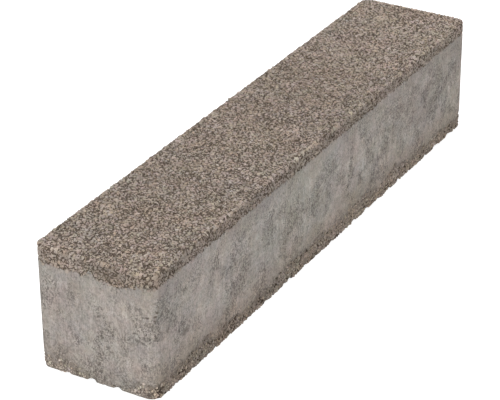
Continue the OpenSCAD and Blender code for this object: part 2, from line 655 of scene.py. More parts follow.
def unfold(bm):
    """Lays the six faces of the block flat on the bake map, in strips."""
    size = HIGH - LOW
    layer = bm.loops.layers.uv.new(BAKE_MAP)
    margin, strip = BAKE_MARGIN, BAKE_STRIP
    for face in bm.faces:
        out = face.normal
        axis = max(range(3), key=lambda k: abs(out[k]))
        for loop in face.loops:
            at = loop.vert.co - LOW
            along, across, row = at.x / size.x, at.z / size.z, 0
            if axis == 1:
                row = 0 if out.y < 0 else 1
            elif axis == 2:
                across = at.y / size.y
                row = 2 if out.z > 0 else 3
            else:
                half = 0.0 if out.x < 0 else 0.5
                along = half + margin + at.y / size.y * (0.5 - 2 * margin)
                row = 4
            loop[layer].uv = (
                margin + along * (1 - 2 * margin),
                (row + margin / strip + across * (1 - 2 * margin / strip)) * strip,
            )


# Node helpers


def add_node(tree, kind, settings=None, inputs=None):
    """Adds a node, and gives each named input a value or a link."""
    node = tree.nodes.new(kind)
    for name, value in (settings or {}).items():
        setattr(node, name, value)
    for name, value in (inputs or {}).items():
        if isinstance(value, bpy.types.NodeSocket):
            tree.links.new(value, node.inputs[name])
        else:
            node.inputs[name].default_value = value
    return node


def maths(tree, operation, *values):
    """The result of a sum on numbers, in a material or in geometry nodes."""
    settings = {"operation": operation}
    return add_node(tree, "ShaderNodeMath", settings, dict(enumerate(values))).outputs[0]


def vary(tree, value, mask, gain, base):
    """value times base where a mask is 0, and times base plus gain where it is 1."""
    return maths(tree, "MULTIPLY", value, maths(tree, "MULTIPLY_ADD", mask, gain, base))


def mix_numbers(tree, share, first, second):
    """A number that goes from first to second with a share."""
    mixed = {0: share, 2: first, 3: second}
    return add_node(tree, "ShaderNodeMix", {"data_type": "FLOAT"}, mixed).outputs[0]


def measure(tree, vector):
    """Length of a vector."""
    node = add_node(tree, "ShaderNodeVectorMath", {"operation": "LENGTH"}, {0: vector})
    return node.outputs["Value"]


def vector_maths(tree, operation, *values):
    """The result of a sum on vectors."""
    settings = {"operation": operation}
    return add_node(tree, "ShaderNodeVectorMath", settings, dict(enumerate(values))).outputs[0]


def smooth_range(tree, value, low, high, to_low=0.0, to_high=1.0):
    """value's smooth step from to_low at low to to_high at high."""
    smooth = {"interpolation_type": "SMOOTHSTEP"}
    ends = {"From Min": low, "From Max": high, "To Min": to_low, "To Max": to_high}
    return add_node(tree, "ShaderNodeMapRange", smooth, {"Value": value} | ends).outputs["Result"]


def mix_colours(tree, share, first, second, blend="MIX"):
    """A colour that goes from first to second with a share."""
    node = add_node(
        tree,
        "ShaderNodeMix",
        {"data_type": "RGBA", "blend_type": blend, "clamp_factor": True},
    )
    factor, a, b = node.inputs[0], node.inputs[6], node.inputs[7]
    for socket, value in ((factor, share), (a, first), (b, second)):
        if isinstance(value, bpy.types.NodeSocket):
            tree.links.new(value, socket)
        else:
            socket.default_value = value if socket is factor else (*value, 1.0)
    return node.outputs[2]


def times(tree, vector, factor):
    """A vector made longer, or a colour made lighter, by a factor."""
    scaled = {0: vector, "Scale": factor}
    return add_node(tree, "ShaderNodeVectorMath", {"operation": "SCALE"}, scaled).outputs[0]


def noise_at(tree, place, scale, detail, roughness):
    """Noise from 0 to 1 at a place."""
    inputs = {"Vector": place, "Scale": scale, "Detail": detail, "Roughness": roughness}
    return add_node(tree, "ShaderNodeTexNoise", None, inputs).outputs["Fac"]


def lumps(tree, place, sizes, detail=2.0, roughness=0.5, seed=0.0):
    """Noise from 0 to 1 whose lumps measure sizes, in millimetres along X, Y and Z."""
    scaled = vector_maths(tree, "MULTIPLY", place, tuple(1.0 / s for s in sizes))
    moved = vector_maths(tree, "ADD", scaled, (seed, seed, seed))
    return noise_at(tree, moved, 1.0, detail, roughness)


def along(tree, place, axis, low, high):
    """0 to 1 as a place goes from low to high along an axis, in millimetres."""
    way = add_node(tree, "ShaderNodeSeparateXYZ", None, {0: place}).outputs[axis]
    return smooth_range(tree, way, low, high)


def note(tree, name):
    """What was noted on each vertex or stone under a name."""
    return add_node(tree, "ShaderNodeAttribute", {"attribute_name": name}).outputs["Fac"]


def new_group(name, inputs, outputs):
    """A shader group: its tree, its named inputs, and a function that links its outputs."""
    tree = bpy.data.node_groups.new(name, "ShaderNodeTree")
    for way, sockets in (("INPUT", inputs), ("OUTPUT", outputs)):
        for label, kind in sockets.items():
            tree.interface.new_socket(name=label, in_out=way, socket_type="NodeSocket" + kind)
    ins = tree.nodes.new("NodeGroupInput")
    outs = tree.nodes.new("NodeGroupOutput")

    def put_out(**values):
        """Links what the group works out to its outputs."""
        for label, value in values.items():
            tree.links.new(value, outs.inputs[label])

    return tree, ins.outputs, put_out


def use_group(tree, name, inputs):
    """The outputs of a shared group, given its inputs."""
    group = bpy.data.node_groups[name]
    return add_node(tree, "ShaderNodeGroup", {"node_tree": group}, inputs).outputs


# Materials


def build_grain_group():
    """Sand grain of bare concrete: a level round 1 for its colour, and its height in mm."""
    tree, ins, put_out = new_group(
        "Concrete Sand Grain",
        {"Place": "Vector", "Size": "Float"},
        {"Level": "Float", "Height": "Float"},
    )
    scale = maths(tree, "DIVIDE", 1.0, ins["Size"])
    fine = noise_at(tree, ins["Place"], scale, 3.0, 0.7)
    put_out(
        Level=smooth_range(tree, fine, 0.25, 0.75, 0.78, 1.15),
        Height=maths(tree, "MULTIPLY", fine, 0.25),
    )


def build_gap_group():
    """How deep a place lies below the block's rounded outer faces, in millimetres."""
    tree, ins, put_out = new_group(
        "Depth Below Face", {"Place": "Vector"}, {"Depth": "Float"}
    )
    half = (HIGH - LOW) / 2 / MM
    centred = vector_maths(tree, "SUBTRACT", ins["Place"], tuple(MIDDLE / MM))
    reach = vector_maths(tree, "ABSOLUTE", centred)
    flat = vector_maths(tree, "MULTIPLY", reach, (1.0, 1.0, 0.0))
    turn = (half.x - OUTER_CORNER, half.y - OUTER_CORNER, 0.0)
    past = vector_maths(tree, "SUBTRACT", flat, turn)
    past = vector_maths(tree, "MAXIMUM", past, (0.0, 0.0, 0.0))
    inward = maths(tree, "SUBTRACT", OUTER_CORNER, measure(tree, past))
    up = add_node(tree, "ShaderNodeSeparateXYZ", None, {0: reach}).outputs["Z"]
    downward = maths(tree, "SUBTRACT", half.z, up)
    both = add_node(tree, "ShaderNodeCombineXYZ", None, {0: inward, 1: downward}).outputs[0]
    past = vector_maths(tree, "SUBTRACT", (OUTER_RIM, OUTER_RIM, 0.0), both)
    past = vector_maths(tree, "MAXIMUM", past, (0.0, 0.0, 0.0))
    depth = maths(tree, "SUBTRACT", OUTER_RIM, measure(tree, past))
    put_out(Depth=depth)


def build_mark_group():
    """How far a place lies inside a small ragged mark in the skin, from 0 to 1."""
    tree, ins, put_out = new_group(
        "Skin Mark",
        {
            "Place": "Vector",
            "Centre": "Vector",
            "Size": "Vector",
            "Wobble": "Float",
            "Softness": "Float",
        },
        {"Inside": "Float"},
    )
    away = vector_maths(tree, "SUBTRACT", ins["Place"], ins["Centre"])
    away = vector_maths(tree, "DIVIDE", away, ins["Size"])
    away = maths(tree, "MULTIPLY_ADD", ins["Wobble"], WOBBLE_GAIN, measure(tree, away))
    outer = maths(tree, "ADD", ins["Softness"], MARK_EDGE)
    inner = maths(tree, "SUBTRACT", MARK_EDGE, ins["Softness"])
    put_out(Inside=smooth_range(tree, away, outer, inner))


def build_drift_group():
    """Faint warm and cool clouds of every size: a colour round white to multiply by."""
    tree, ins, put_out = new_group(
        "Hue Drift", {"Place": "Vector", "Strength": "Float"}, {"Drift": "Color"}
    )
    levels = []
    for seed in (31.0, 47.0):
        clouds = lumps(tree, ins["Place"], (44.0, 44.0, 44.0), 6.0, 0.95, seed)
        centred = maths(tree, "SUBTRACT", clouds, 0.5)
        levels.append(maths(tree, "MULTIPLY_ADD", centred, ins["Strength"], 1.0))
    parts = {"Red": levels[0], "Green": 1.0, "Blue": levels[1]}
    put_out(Drift=add_node(tree, "ShaderNodeCombineColor", None, parts).outputs[0])


def build_packed_group():
    """Packed grains of open concrete: a colour level round 1, with painted shade in the gaps, and
    height in mm.
    """
    tree, ins, put_out = new_group(
        "Packed Grains",
        {"Place": "Vector", "Size": "Float"},
        {"Level": "Float", "Height": "Float"},
    )
    scale = maths(tree, "DIVIDE", 1.0, ins["Size"])
    bend = add_node(
        tree, "ShaderNodeTexNoise", None, {"Vector": ins["Place"], "Scale": scale}
    ).outputs["Color"]
    bent = vector_maths(tree, "ADD", ins["Place"], times(tree, bend, 1.4))
    cells = {"Vector": bent, "Scale": scale}
    own_colour = add_node(tree, "ShaderNodeTexVoronoi", None, cells).outputs["Color"]
    to_edge = {"feature": "DISTANCE_TO_EDGE"}
    gaps = add_node(tree, "ShaderNodeTexVoronoi", to_edge, cells).outputs["Distance"]
    chance = add_node(tree, "ShaderNodeSeparateColor", None, {0: own_colour}).outputs[0]
    tone = smooth_range(tree, chance, 0.1, 1.0, 0.85, 1.20)
    present = smooth_range(tree, chance, 0.20, 0.30)
    body = maths(tree, "MULTIPLY", smooth_range(tree, gaps, 0.02, 0.20), present)
    half_size = maths(tree, "MULTIPLY", ins["Size"], 0.5)
    # Level: each grain's own tone, darker towards the gaps and where a grain is missing, as
    # painted shade
    put_out(
        Level=vary(tree, tone, body, 0.40, 0.60),
        Height=maths(tree, "MULTIPLY", body, half_size),
    )


def build_pore_group():
    """Pores about as big as Size, rarer with a higher Least: from 0 outside to 1 inside."""
    tree, ins, put_out = new_group(
        "Open Pores", {"Place": "Vector", "Size": "Float", "Least": "Float"}, {"Inside": "Float"}
    )
    scale = maths(tree, "DIVIDE", 1.0, ins["Size"])
    pores = noise_at(tree, ins["Place"], scale, 1.0, 0.5)
    gather = lumps(tree, ins["Place"], (13.0, 13.0, 9.0), 2.0, 0.5, 83.0)
    both = maths(tree, "MULTIPLY_ADD", gather, 0.35, pores)
    full = maths(tree, "ADD", ins["Least"], 0.04)
    put_out(Inside=smooth_range(tree, both, ins["Least"], full))


GROUPS = (
    build_grain_group,
    build_gap_group,
    build_mark_group,
    build_drift_group,
    build_packed_group,
    build_pore_group,
)


def open_pores(tree, place, size):
    """How far a place lies inside a pore, as a socket."""
    pores = {"Place": place, "Size": size, "Least": PORE_LEAST}
    return use_group(tree, "Open Pores", pores)["Inside"]


def new_material(name, roughness):
    """A material with its shader, and the place on the block in millimetres."""
    material = bpy.data.materials.new(name)
    material.use_nodes = True
    tree = material.node_tree
    shader = tree.nodes["Principled BSDF"]
    shader.inputs["Roughness"].default_value = roughness
    shader.inputs["Specular IOR Level"].default_value = 0.25
    metres = add_node(tree, "ShaderNodeTexCoord").outputs["Object"]
    place = vector_maths(tree, "MULTIPLY", metres, (1.0 / MM,) * 3)
    return material, tree, shader, place


def set_bump(tree, shader, height, strength=1.0):
    """Bumps the surface by a height in millimetres."""
    height = {"Height": height, "Strength": strength, "Distance": MM}
    bump = add_node(tree, "ShaderNodeBump", None, height)
    tree.links.new(bump.outputs["Normal"], shader.inputs["Normal"])


def drift_hue(tree, colour, place, strength):
    """colour multiplied by faint warm and cool clouds."""
    drift = use_group(tree, "Hue Drift", {"Place": place, "Strength": strength})
    return vector_maths(tree, "MULTIPLY", colour, drift["Drift"])


def place_mark(tree, place, wobble, centre, size, softness):
    """How far a place lies inside a mark, as a socket."""
    mark = {"Place": place, "Centre": centre, "Size": size}
    edge = {"Wobble": wobble, "Softness": softness}
    return use_group(tree, "Skin Mark", mark | edge)["Inside"]


def tint_clouds(tree, colour, place, wobble, tints):
    """colour multiplied by each tint within its soft cloud."""
    for centre, size, tint in tints:
        cloud = place_mark(tree, place, wobble, centre, size, TINT_SOFTNESS)
        colour = mix_colours(tree, cloud, colour, tint, "MULTIPLY")
    return colour


def cast_concrete(cast, washed, foot):
    """Cement skin with clouds, drag marks and flecks, open to the mortar where it is rinsed."""
    material, tree, shader, place = new_material("cast_concrete", 0.85)
    rinse = note(tree, WASHED)
    crumble = note(tree, CRUMBLED)
    low_half = along(tree, place, "Z", 108.0, 45.0)
    on_end = along(tree, place, "X", *END_EDGE)
    clean = smooth_range(tree, rinse, -22.0, -3.0)

    tints = lumps(tree, place, (50.0, 50.0, 40.0), 3.0, 0.55, 7.0)
    patches = lumps(tree, place, (17.0, 17.0, 21.0), 3.0, 0.6, 3.0)
    patches = maths(tree, "MULTIPLY_ADD", patches, 0.8, 0.1)
    patches = maths(tree, "MULTIPLY_ADD", note(tree, CLOUDED), 0.10, patches)
    broken = lumps(tree, place, (2.8, 2.8, 4.4), 3.0, 0.80, 13.0)
    blobs = lumps(tree, place, (7.0, 7.0, 8.5), 1.0, 0.5, 21.0)
    speckle = lumps(tree, place, (1.6, 1.6, 2.1), 3.0, 0.9, 2.0)
    pits = lumps(tree, place, (1.6, 1.6, 1.9), 2.0, 0.6, 61.0)
    drag = lumps(tree, place, (1.2, 1.2, 36.0), 2.0, 0.8, 5.0)

    open_skin = maths(tree, "MULTIPLY_ADD", clean, -0.80, 1.0)
    dark = smooth_range(tree, patches, 0.42, 0.62)
    dark = vary(tree, dark, low_half, 0.4, 0.6)
    dark = maths(tree, "MULTIPLY", dark, open_skin)
    dark = vary(tree, dark, on_end, -0.35, 1.0)
    pinkness = smooth_range(tree, tints, 0.46, 0.60, 0.0, 0.6)
    skin = mix_colours(tree, pinkness, cast.colour, cast.pink_colour)
    skin = mix_colours(tree, maths(tree, "MULTIPLY", dark, 0.55), skin, cast.grey_colour)
    warm = smooth_range(tree, crumble, -32.0, -5.0, 0.0, 0.95)
    warm = vary(tree, warm, on_end, -0.75, 1.0)
    skin = mix_colours(tree, warm, skin, cast.warm_colour)
    pale = smooth_range(tree, blobs, 0.52, 0.68)
    skin = times(tree, skin, maths(tree, "MULTIPLY_ADD", pale, 0.12, 0.98))
    roughness = smooth_range(tree, patches, 0.42, 0.60)
    contrast = maths(tree, "MULTIPLY_ADD", roughness, 0.20, 0.15)
    contrast = vary(tree, contrast, on_end, -0.17, 1.15)
    speck = smooth_range(tree, speckle, 0.30, 0.56, -2.0, 0.40)
    skin = times(tree, skin, maths(tree, "MULTIPLY_ADD", speck, contrast, 1.0))
    skin = times(tree, skin, smooth_range(tree, drag, 0.30, 0.62, 0.89, 1.06))
    skin = times(tree, skin, maths(tree, "MULTIPLY_ADD", clean, -0.17, 1.0))

    gather = maths(tree, "MULTIPLY_ADD", dark, 0.68, 0.32)
    gather = maths(tree, "MULTIPLY", gather, open_skin)
    gather = vary(tree, gather, pale, -0.9, 1.0)
    flecks = smooth_range(tree, broken, 0.525, 0.580)
    flecks = maths(tree, "MULTIPLY", flecks, gather)
    # Pin holes: painted shade, joined to the flecks and given a shallow bump
    pits = smooth_range(tree, pits, 0.57, 0.64)
    pits = vary(tree, pits, clean, -0.35, 1.0)
    pits = vary(tree, pits, roughness, 0.62, 0.38)
    flecks = maths(tree, "MAXIMUM", flecks, pits)
    skin = mix_colours(tree, maths(tree, "MULTIPLY", flecks, 0.85), skin, cast.fleck_and_pit_shade_colour)
    wobble = lumps(tree, place, (3.2, 3.2, 3.2), 3.0, 0.8, 17.0)
    # Marks in the skin, among them painted shade along and under the nick's edge
    for centre, size, colour, share in SKIN_MARKS:
        mark = place_mark(tree, place, wobble, centre, size, MARK_SOFTNESS)
        skin = mix_colours(tree, maths(tree, "MULTIPLY", mark, share), skin, colour)
    skin = tint_clouds(tree, skin, place, wobble, TINTS)

    grain = use_group(tree, "Concrete Sand Grain", {"Place": place, "Size": SAND_SIZE})
    ragged = lumps(tree, place, (2.6, 2.6, 2.6), 2.0, 0.6, 6.0)
    edge = maths(tree, "MULTIPLY_ADD", ragged, 7.0, -3.5)
    open_top = smooth_range(tree, maths(tree, "ADD", rinse, edge), -0.6, 0.4)
    ragged_foot = lumps(tree, place, (4.5, 4.5, 3.6), 4.0, 0.8, 26.0)
    foot_edge = maths(tree, "MULTIPLY_ADD", ragged_foot, 44.0, -22.0)
    open_foot = smooth_range(tree, maths(tree, "ADD", crumble, foot_edge), -4.5, 3.0)
    bared = tint_clouds(tree, foot.colour, place, wobble, FOOT_TINTS)
    colour = mix_colours(tree, open_foot, skin, bared)
    colour = mix_colours(tree, open_top, colour, washed.mortar_and_shade_colour)
    opened = maths(tree, "MAXIMUM", open_top, open_foot)
    packed = use_group(tree, "Packed Grains", {"Place": place, "Size": GRAIN_SIZE})
    # Open concrete takes the packed grains' tone and their painted shade in the gaps
    colour = times(tree, colour, mix_numbers(tree, opened, 1.0, packed["Level"]))
    # Pores of the open foot: painted shade inside the holes, with a shallow bump
    pores = maths(tree, "MULTIPLY", open_pores(tree, place, 3.2), open_foot)
    pores = vary(tree, pores, on_end, -0.50, 0.95)
    colour = mix_colours(tree, pores, colour, cast.pore_shade_colour)
    colour = drift_hue(tree, colour, place, 0.38)
    tree.links.new(colour, shader.inputs["Base Color"])

    marks = maths(tree, "MULTIPLY_ADD", drag, 0.06, maths(tree, "MULTIPLY", speckle, 0.12))
    smooth_height = maths(tree, "MULTIPLY_ADD", flecks, -0.35, marks)
    mixed = mix_numbers(tree, opened, smooth_height, packed["Height"])
    fine = maths(tree, "MULTIPLY", grain["Height"], 0.3)
    height = maths(tree, "ADD", mixed, fine)
    height = maths(tree, "MULTIPLY_ADD", pores, -0.6, height)
    set_bump(tree, shader, height)
    return material


def mortar_film_and_shade(tree, colour, place, film_and_shade_colour):
    """Mortar left on the stones of the washed band, thinner low down on the near end, which also
    darkens the band as painted shade.
    """
    band = along(tree, place, "Z", 118.8, 115.5)
    patchy = lumps(tree, place, (6.0, 6.0, 6.0), 2.0, 0.6, 71.0)
    film_and_shade = maths(tree, "MULTIPLY", band, smooth_range(tree, patchy, 0.38, 0.62, 0.45, 0.9))
    on_end = along(tree, place, "X", *END_EDGE)
    low_end = maths(tree, "MULTIPLY", on_end, along(tree, place, "Z", 113.0, 109.5))
    film_and_shade = vary(tree, film_and_shade, low_end, -0.5, 1.0)
    return mix_colours(tree, film_and_shade, colour, film_and_shade_colour)


def bare_stone(
    name, shades, tints, shade_and_dirt_colour, shade_and_dirt_depths, pore_shade_colour, pore_size, film_and_shade_colour=None
):
    """Bare stones, each of its own shade, darker the deeper they lie in the gaps: painted shade,
    with mortar and grime.
    """
    material, tree, shader, place = new_material(name, 0.8)
    ramp = add_node(tree, "ShaderNodeValToRGB", None, {"Fac": note(tree, TONE)})
    stops = ramp.color_ramp.elements
    while len(stops) < len(shades):
        stops.new(0.5)
    for stop, (position, colour) in zip(stops, shades):
        stop.position = position
        stop.color = (*colour, 1.0)
    ramp.color_ramp.interpolation = "LINEAR"
    grain = use_group(tree, "Concrete Sand Grain", {"Place": place, "Size": SAND_SIZE})
    colour = times(tree, ramp.outputs["Color"], grain["Level"])
    chance = {"W": maths(tree, "MULTIPLY", note(tree, TONE), HUE_SCATTER)}
    one_way = {"noise_dimensions": "1D"}
    own_hue = add_node(tree, "ShaderNodeTexWhiteNoise", one_way, chance).outputs["Color"]
    own_hue = vector_maths(tree, "MULTIPLY_ADD", own_hue, HUE_SPREAD, HUE_LOW)
    colour = vector_maths(tree, "MULTIPLY", colour, own_hue)
    on_end = along(tree, place, "X", *END_EDGE)
    on_end = maths(tree, "MULTIPLY", on_end, along(tree, place, "Z", 117.0, 109.0))
    if film_and_shade_colour:
        colour = mortar_film_and_shade(tree, colour, place, film_and_shade_colour)
    # Painted shade, with grime: the deeper below the face, the closer to the dark colour
    depth = use_group(tree, "Depth Below Face", {"Place": place})["Depth"]
    shade_and_dirt = smooth_range(tree, depth, *shade_and_dirt_depths, 0.0, 0.85)
    shade_and_dirt = vary(tree, shade_and_dirt, on_end, -0.45, 1.0)
    colour = mix_colours(tree, shade_and_dirt, colour, shade_and_dirt_colour)
    wobble = lumps(tree, place, (6.0, 6.0, 6.0), 2.0, 0.6, 18.0)
    colour = tint_clouds(tree, colour, place, wobble, tints)
    # Pores on the stones: painted shade of holes that the mesh does not have
    pores = maths(tree, "MULTIPLY", open_pores(tree, place, pore_size), 0.90)
    pores = vary(tree, pores, on_end, -0.50, 1.0)
    colour = mix_colours(tree, pores, colour, pore_shade_colour)
    mottle = lumps(tree, place, (34.0, 34.0, 34.0), 2.0, 0.6, 52.0)
    colour = times(tree, colour, smooth_range(tree, mottle, 0.25, 0.75, 0.93, 1.07))
    colour = drift_hue(tree, colour, place, 0.40)
    tree.links.new(colour, shader.inputs["Base Color"])
    set_bump(tree, shader, grain["Height"], 0.5)
    return material


# Stones


def stone_shape(name, corners, flatness, dice):
    """A chip of stone about 1 in radius: the hull round a few scattered corners."""
    bm = bmesh.new()
    golden_turn = math.pi * (3.0 - math.sqrt(5.0))
    for k in range(corners):
        height = 1.0 - (2.0 * k + 1.0) / corners
        angle = k * golden_turn + dice.uniform(-0.5, 0.5)
        width = math.sqrt(1.0 - height * height)
        reach = dice.uniform(0.78, 1.22)
        corner = Vector((width * math.cos(angle), width * math.sin(angle), height))
        bm.verts.new(corner * reach)
    bmesh.ops.rotate(
        bm,
        verts=bm.verts[:],
        matrix=Matrix.Rotation(dice.uniform(0.5, 2.6), 3, "X")
        @ Matrix.Rotation(dice.uniform(0.0, 6.2), 3, "Z"),
    )
    bmesh.ops.scale(bm, verts=bm.verts[:], vec=(1.0, dice.uniform(0.7, 0.95), flatness))
    bmesh.ops.convex_hull(bm, input=bm.verts[:])
    loose = [v for v in bm.verts if not v.link_faces]
    bmesh.ops.delete(bm, geom=loose, context="VERTS")
    bmesh.ops.recalc_face_normals(bm, faces=bm.faces[:])
    layer = bm.loops.layers.uv.new(BAKE_MAP)
    for face in bm.faces:
        start, width = (0.04, 0.66) if face.normal.z > 0 else (0.76, 0.20)
        for loop in face.loops:
            across = 0.5 + 0.45 * loop.vert.co.x
            up = 0.5 + 0.45 * loop.vert.co.y
            loop[layer].uv = (start + width * across, 0.04 + 0.92 * up)
    mesh = bpy.data.meshes.new(name)
    bm.to_mesh(mesh)
    bm.free()
    return bpy.data.objects.new(name, mesh)


def named(tree, name, kind):
    """A named attribute, in geometry nodes."""
    node = add_node(
        tree, "GeometryNodeInputNamedAttribute", {"data_type": kind}, {"Name": name}
    )
    return node.outputs["Attribute"]


def random_value(tree, low, high, seed, kind="FLOAT"):
    """A random number or vector for each point or stone, the same on every run."""
    node = add_node(tree, "FunctionNodeRandomValue", {"data_type": kind})
    sockets = [s for s in node.inputs if s.enabled]
    sockets[0].default_value = low
    sockets[1].default_value = high
    node.inputs["Seed"].default_value = seed
    return next(s for s in node.outputs if s.enabled)


def scatter_tree(name, shapes, cover, spacing, radius, tops, seed, columns):
    """Geometry nodes that bed stones in a skin wherever its cover attribute allows.

    Tops lie between the two shares of the radius above the skin. The bake map has so many
    columns of cells.
    """
    tree = bpy.data.node_groups.new(name, "GeometryNodeTree")
    for way in ("INPUT", "OUTPUT"):
        socket = {"in_out": way, "socket_type": "NodeSocketGeometry"}
        tree.interface.new_socket(name="Geometry", **socket)
    skin = tree.nodes.new("NodeGroupInput").outputs["Geometry"]
    allowed = named(tree, cover, "FLOAT")
    points = add_node(
        tree,
        "GeometryNodeDistributePointsOnFaces",
        {"distribute_method": "POISSON"},
        {
            "Mesh": skin,
            "Distance Min": spacing,
            "Density Max": CROWDING / spacing**2,
            "Density Factor": allowed,
            "Seed": seed,
        },
    )
    chance = maths(tree, "POWER", random_value(tree, 0.0, 1.0, seed + 3), SIZE_SKEW)
    size = maths(tree, "MULTIPLY_ADD", chance, SIZE_SPREAD * radius, SIZE_LEAST * radius)
    top = random_value(tree, tops[0] * radius, tops[1] * radius, seed + 1)
    depth = maths(tree, "MULTIPLY_ADD", size, -BEDDED, top)
    offset = times(tree, points.outputs["Normal"], depth)
    bedded = add_node(
        tree,
        "GeometryNodeSetPosition",
        None,
        {"Geometry": points.outputs["Points"], "Offset": offset},
    ).outputs[0]
    tilt = random_value(
        tree, (-TILT, -TILT, -math.pi), (TILT, TILT, math.pi), seed + 2, "FLOAT_VECTOR"
    )
    tilt = add_node(tree, "FunctionNodeEulerToRotation", None, {0: tilt}).outputs[0]
    turned = add_node(
        tree,
        "FunctionNodeRotateRotation",
        {"rotation_space": "LOCAL"},
        {"Rotation": points.outputs["Rotation"], "Rotate By": tilt},
    ).outputs[0]
    chips = add_node(
        tree,
        "GeometryNodeCollectionInfo",
        None,
        {"Collection": shapes, "Separate Children": True, "Reset Children": True},
    ).outputs[0]
    stones = add_node(
        tree,
        "GeometryNodeInstanceOnPoints",
        None,
        {
            "Points": bedded,
            "Instance": chips,
            "Pick Instance": True,
            "Rotation": turned,
            "Scale": size,
        },
    ).outputs[0]
    index = tree.nodes.new("GeometryNodeInputIndex").outputs[0]
    stones = store(tree, stones, TONE, "FLOAT", "INSTANCE", random_value(tree, 0.0, 1.0, seed + 4))
    stones = store(tree, stones, STONE, "INT", "INSTANCE", index)
    mesh = add_node(tree, "GeometryNodeRealizeInstances", None, {0: stones}).outputs[0]
    mesh = store(tree, mesh, BAKE_MAP, "FLOAT2", "CORNER", bake_cell(tree, columns))
    tree.links.new(mesh, tree.nodes.new("NodeGroupOutput").inputs[0])
    return tree


def store(tree, geometry, name, kind, domain, value):
    """The geometry with a value stored on it under a name."""
    node = add_node(
        tree,
        "GeometryNodeStoreNamedAttribute",
        {"data_type": kind, "domain": domain},
        {"Geometry": geometry, "Name": name, "Value": value},
    )
    return node.outputs[0]


def bake_cell(tree, columns):
    """Each stone's own cell of the bake map, with its shape's map shrunk into it."""
    own = named(tree, BAKE_MAP, "FLOAT_VECTOR")
    stone = named(tree, STONE, "INT")
    column = maths(tree, "FLOORED_MODULO", stone, float(columns))
    row = maths(tree, "FLOOR", maths(tree, "DIVIDE", stone, float(columns)))
    corner = add_node(tree, "ShaderNodeCombineXYZ", None, {0: column, 1: row}).outputs[0]
    return times(tree, vector_maths(tree, "ADD", own, corner), 1.0 / columns)


def inside_block(place):
    """The nearest place that isn't outside the block's rounded outline."""
    held = Vector([min(max(c, a), b) for c, a, b in zip(place, LOW, HIGH)])
    radius = bpy.context.scene.palisade_cast.corner_radius
    turn = Vector((HIGH.x - radius, HIGH.y - radius))
    past = Vector((abs(held.x) - turn.x, abs(held.y) - turn.y))
    if min(past) > 0 and past.length > radius:
        past *= radius / past.length
        held.x = math.copysign(turn.x + past.x, held.x)
        held.y = math.copysign(turn.y + past.y, held.y)
    return held


def cover_note(name, zone, rule):
    """Notes on the skin how many stones it may carry, by how far inside a zone it lies."""
    mesh = bpy.data.objects["cast_block"].data
    cover = mesh.attributes.new(name, "FLOAT", "POINT").data
    for vert, reach, share in zip(mesh.vertices, mesh.attributes[zone].data, cover):
        share.value = rule(vert, reach.value)


def bed_stones(name, material, shapes, cover, **settings):
    """Scatters stones on the block's skin, and keeps them as a piece of their own."""
    skin = bpy.data.objects["cast_block"]
    tree = scatter_tree(name + "_scatter", shapes, cover, **settings)
    carrier = bpy.data.objects.new(name + "_carrier", skin.data)
    bpy.context.scene.collection.objects.link(carrier)
    carrier.modifiers.new("Scatter", "NODES").node_group = tree
    graph = bpy.context.evaluated_depsgraph_get()
    mesh = bpy.data.meshes.new_from_object(carrier.evaluated_get(graph))
    bpy.data.objects.remove(carrier)
    mesh.name = name
    for vert in mesh.vertices:
        vert.co = inside_block(vert.co)
    piece = new_object(name, mesh, material)
    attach(piece, "root")
    return piece


def stone_shapes(name, count, corners, flatness, seed):
    """A collection of chips to scatter, kept out of the scene."""
    dice = random.Random(seed)
    shapes = bpy.data.collections.new(name)
    for k in range(count):
        shapes.objects.link(stone_shape(f"{name}_{k}", corners, flatness, dice))
    return shapes


def big_stones(material):
    """The few stones that are much bigger than the rest, each set one by one."""
    dice = random.Random(14)
    bm = bmesh.new()
    tone_note = bm.verts.layers.float.new(TONE)
    columns = math.ceil(math.sqrt(len(BIG_STONES)))
    for k, (place, radius, tone) in enumerate(BIG_STONES):
        shape = stone_shape(f"big_stone_{k}", 14, 0.75, dice)
        start = len(bm.verts)
        bm.from_mesh(shape.data)
        bm.verts.ensure_lookup_table()
        for vert in bm.verts[start:]:
            vert.co = inside_block((vert.co * radius + Vector(place)) * MM)
            vert[tone_note] = tone
        bm.faces.ensure_lookup_table()
        layer = bm.loops.layers.uv[BAKE_MAP]
        cell = Vector((k % columns, k // columns))
        for face in bm.faces[-len(shape.data.polygons):]:
            for loop in face.loops:
                loop[layer].uv = (loop[layer].uv + cell) / columns
    piece = new_piece("big_stones", bm, material)
    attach(piece, "root")


# Operators


class PALISADE_OT_cast_block(bpy.types.Operator):
    """Model the cast block, with its rinsed top and crumbled foot"""

    bl_idname = "palisade.cast_block"
    bl_label = "Cast block"

    def execute(self, context):
        scene = context.scene
        cast, washed, foot = scene.palisade_cast, scene.palisade_washed, scene.palisade_foot
        for build_group in GROUPS:
            build_group()
        bm = rolled_block(cast)
        cut_grid(bm, cast)
        settle_order(bm)
        weather(bm, cast, washed, foot)
        bm.normal_update()
        unfold(bm)
        for face in bm.faces:
            face.smooth = True
        piece = new_piece("cast_block", bm, cast_concrete(cast, washed, foot))
        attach(piece, "root")
        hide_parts("palisade")
        return {"FINISHED"}


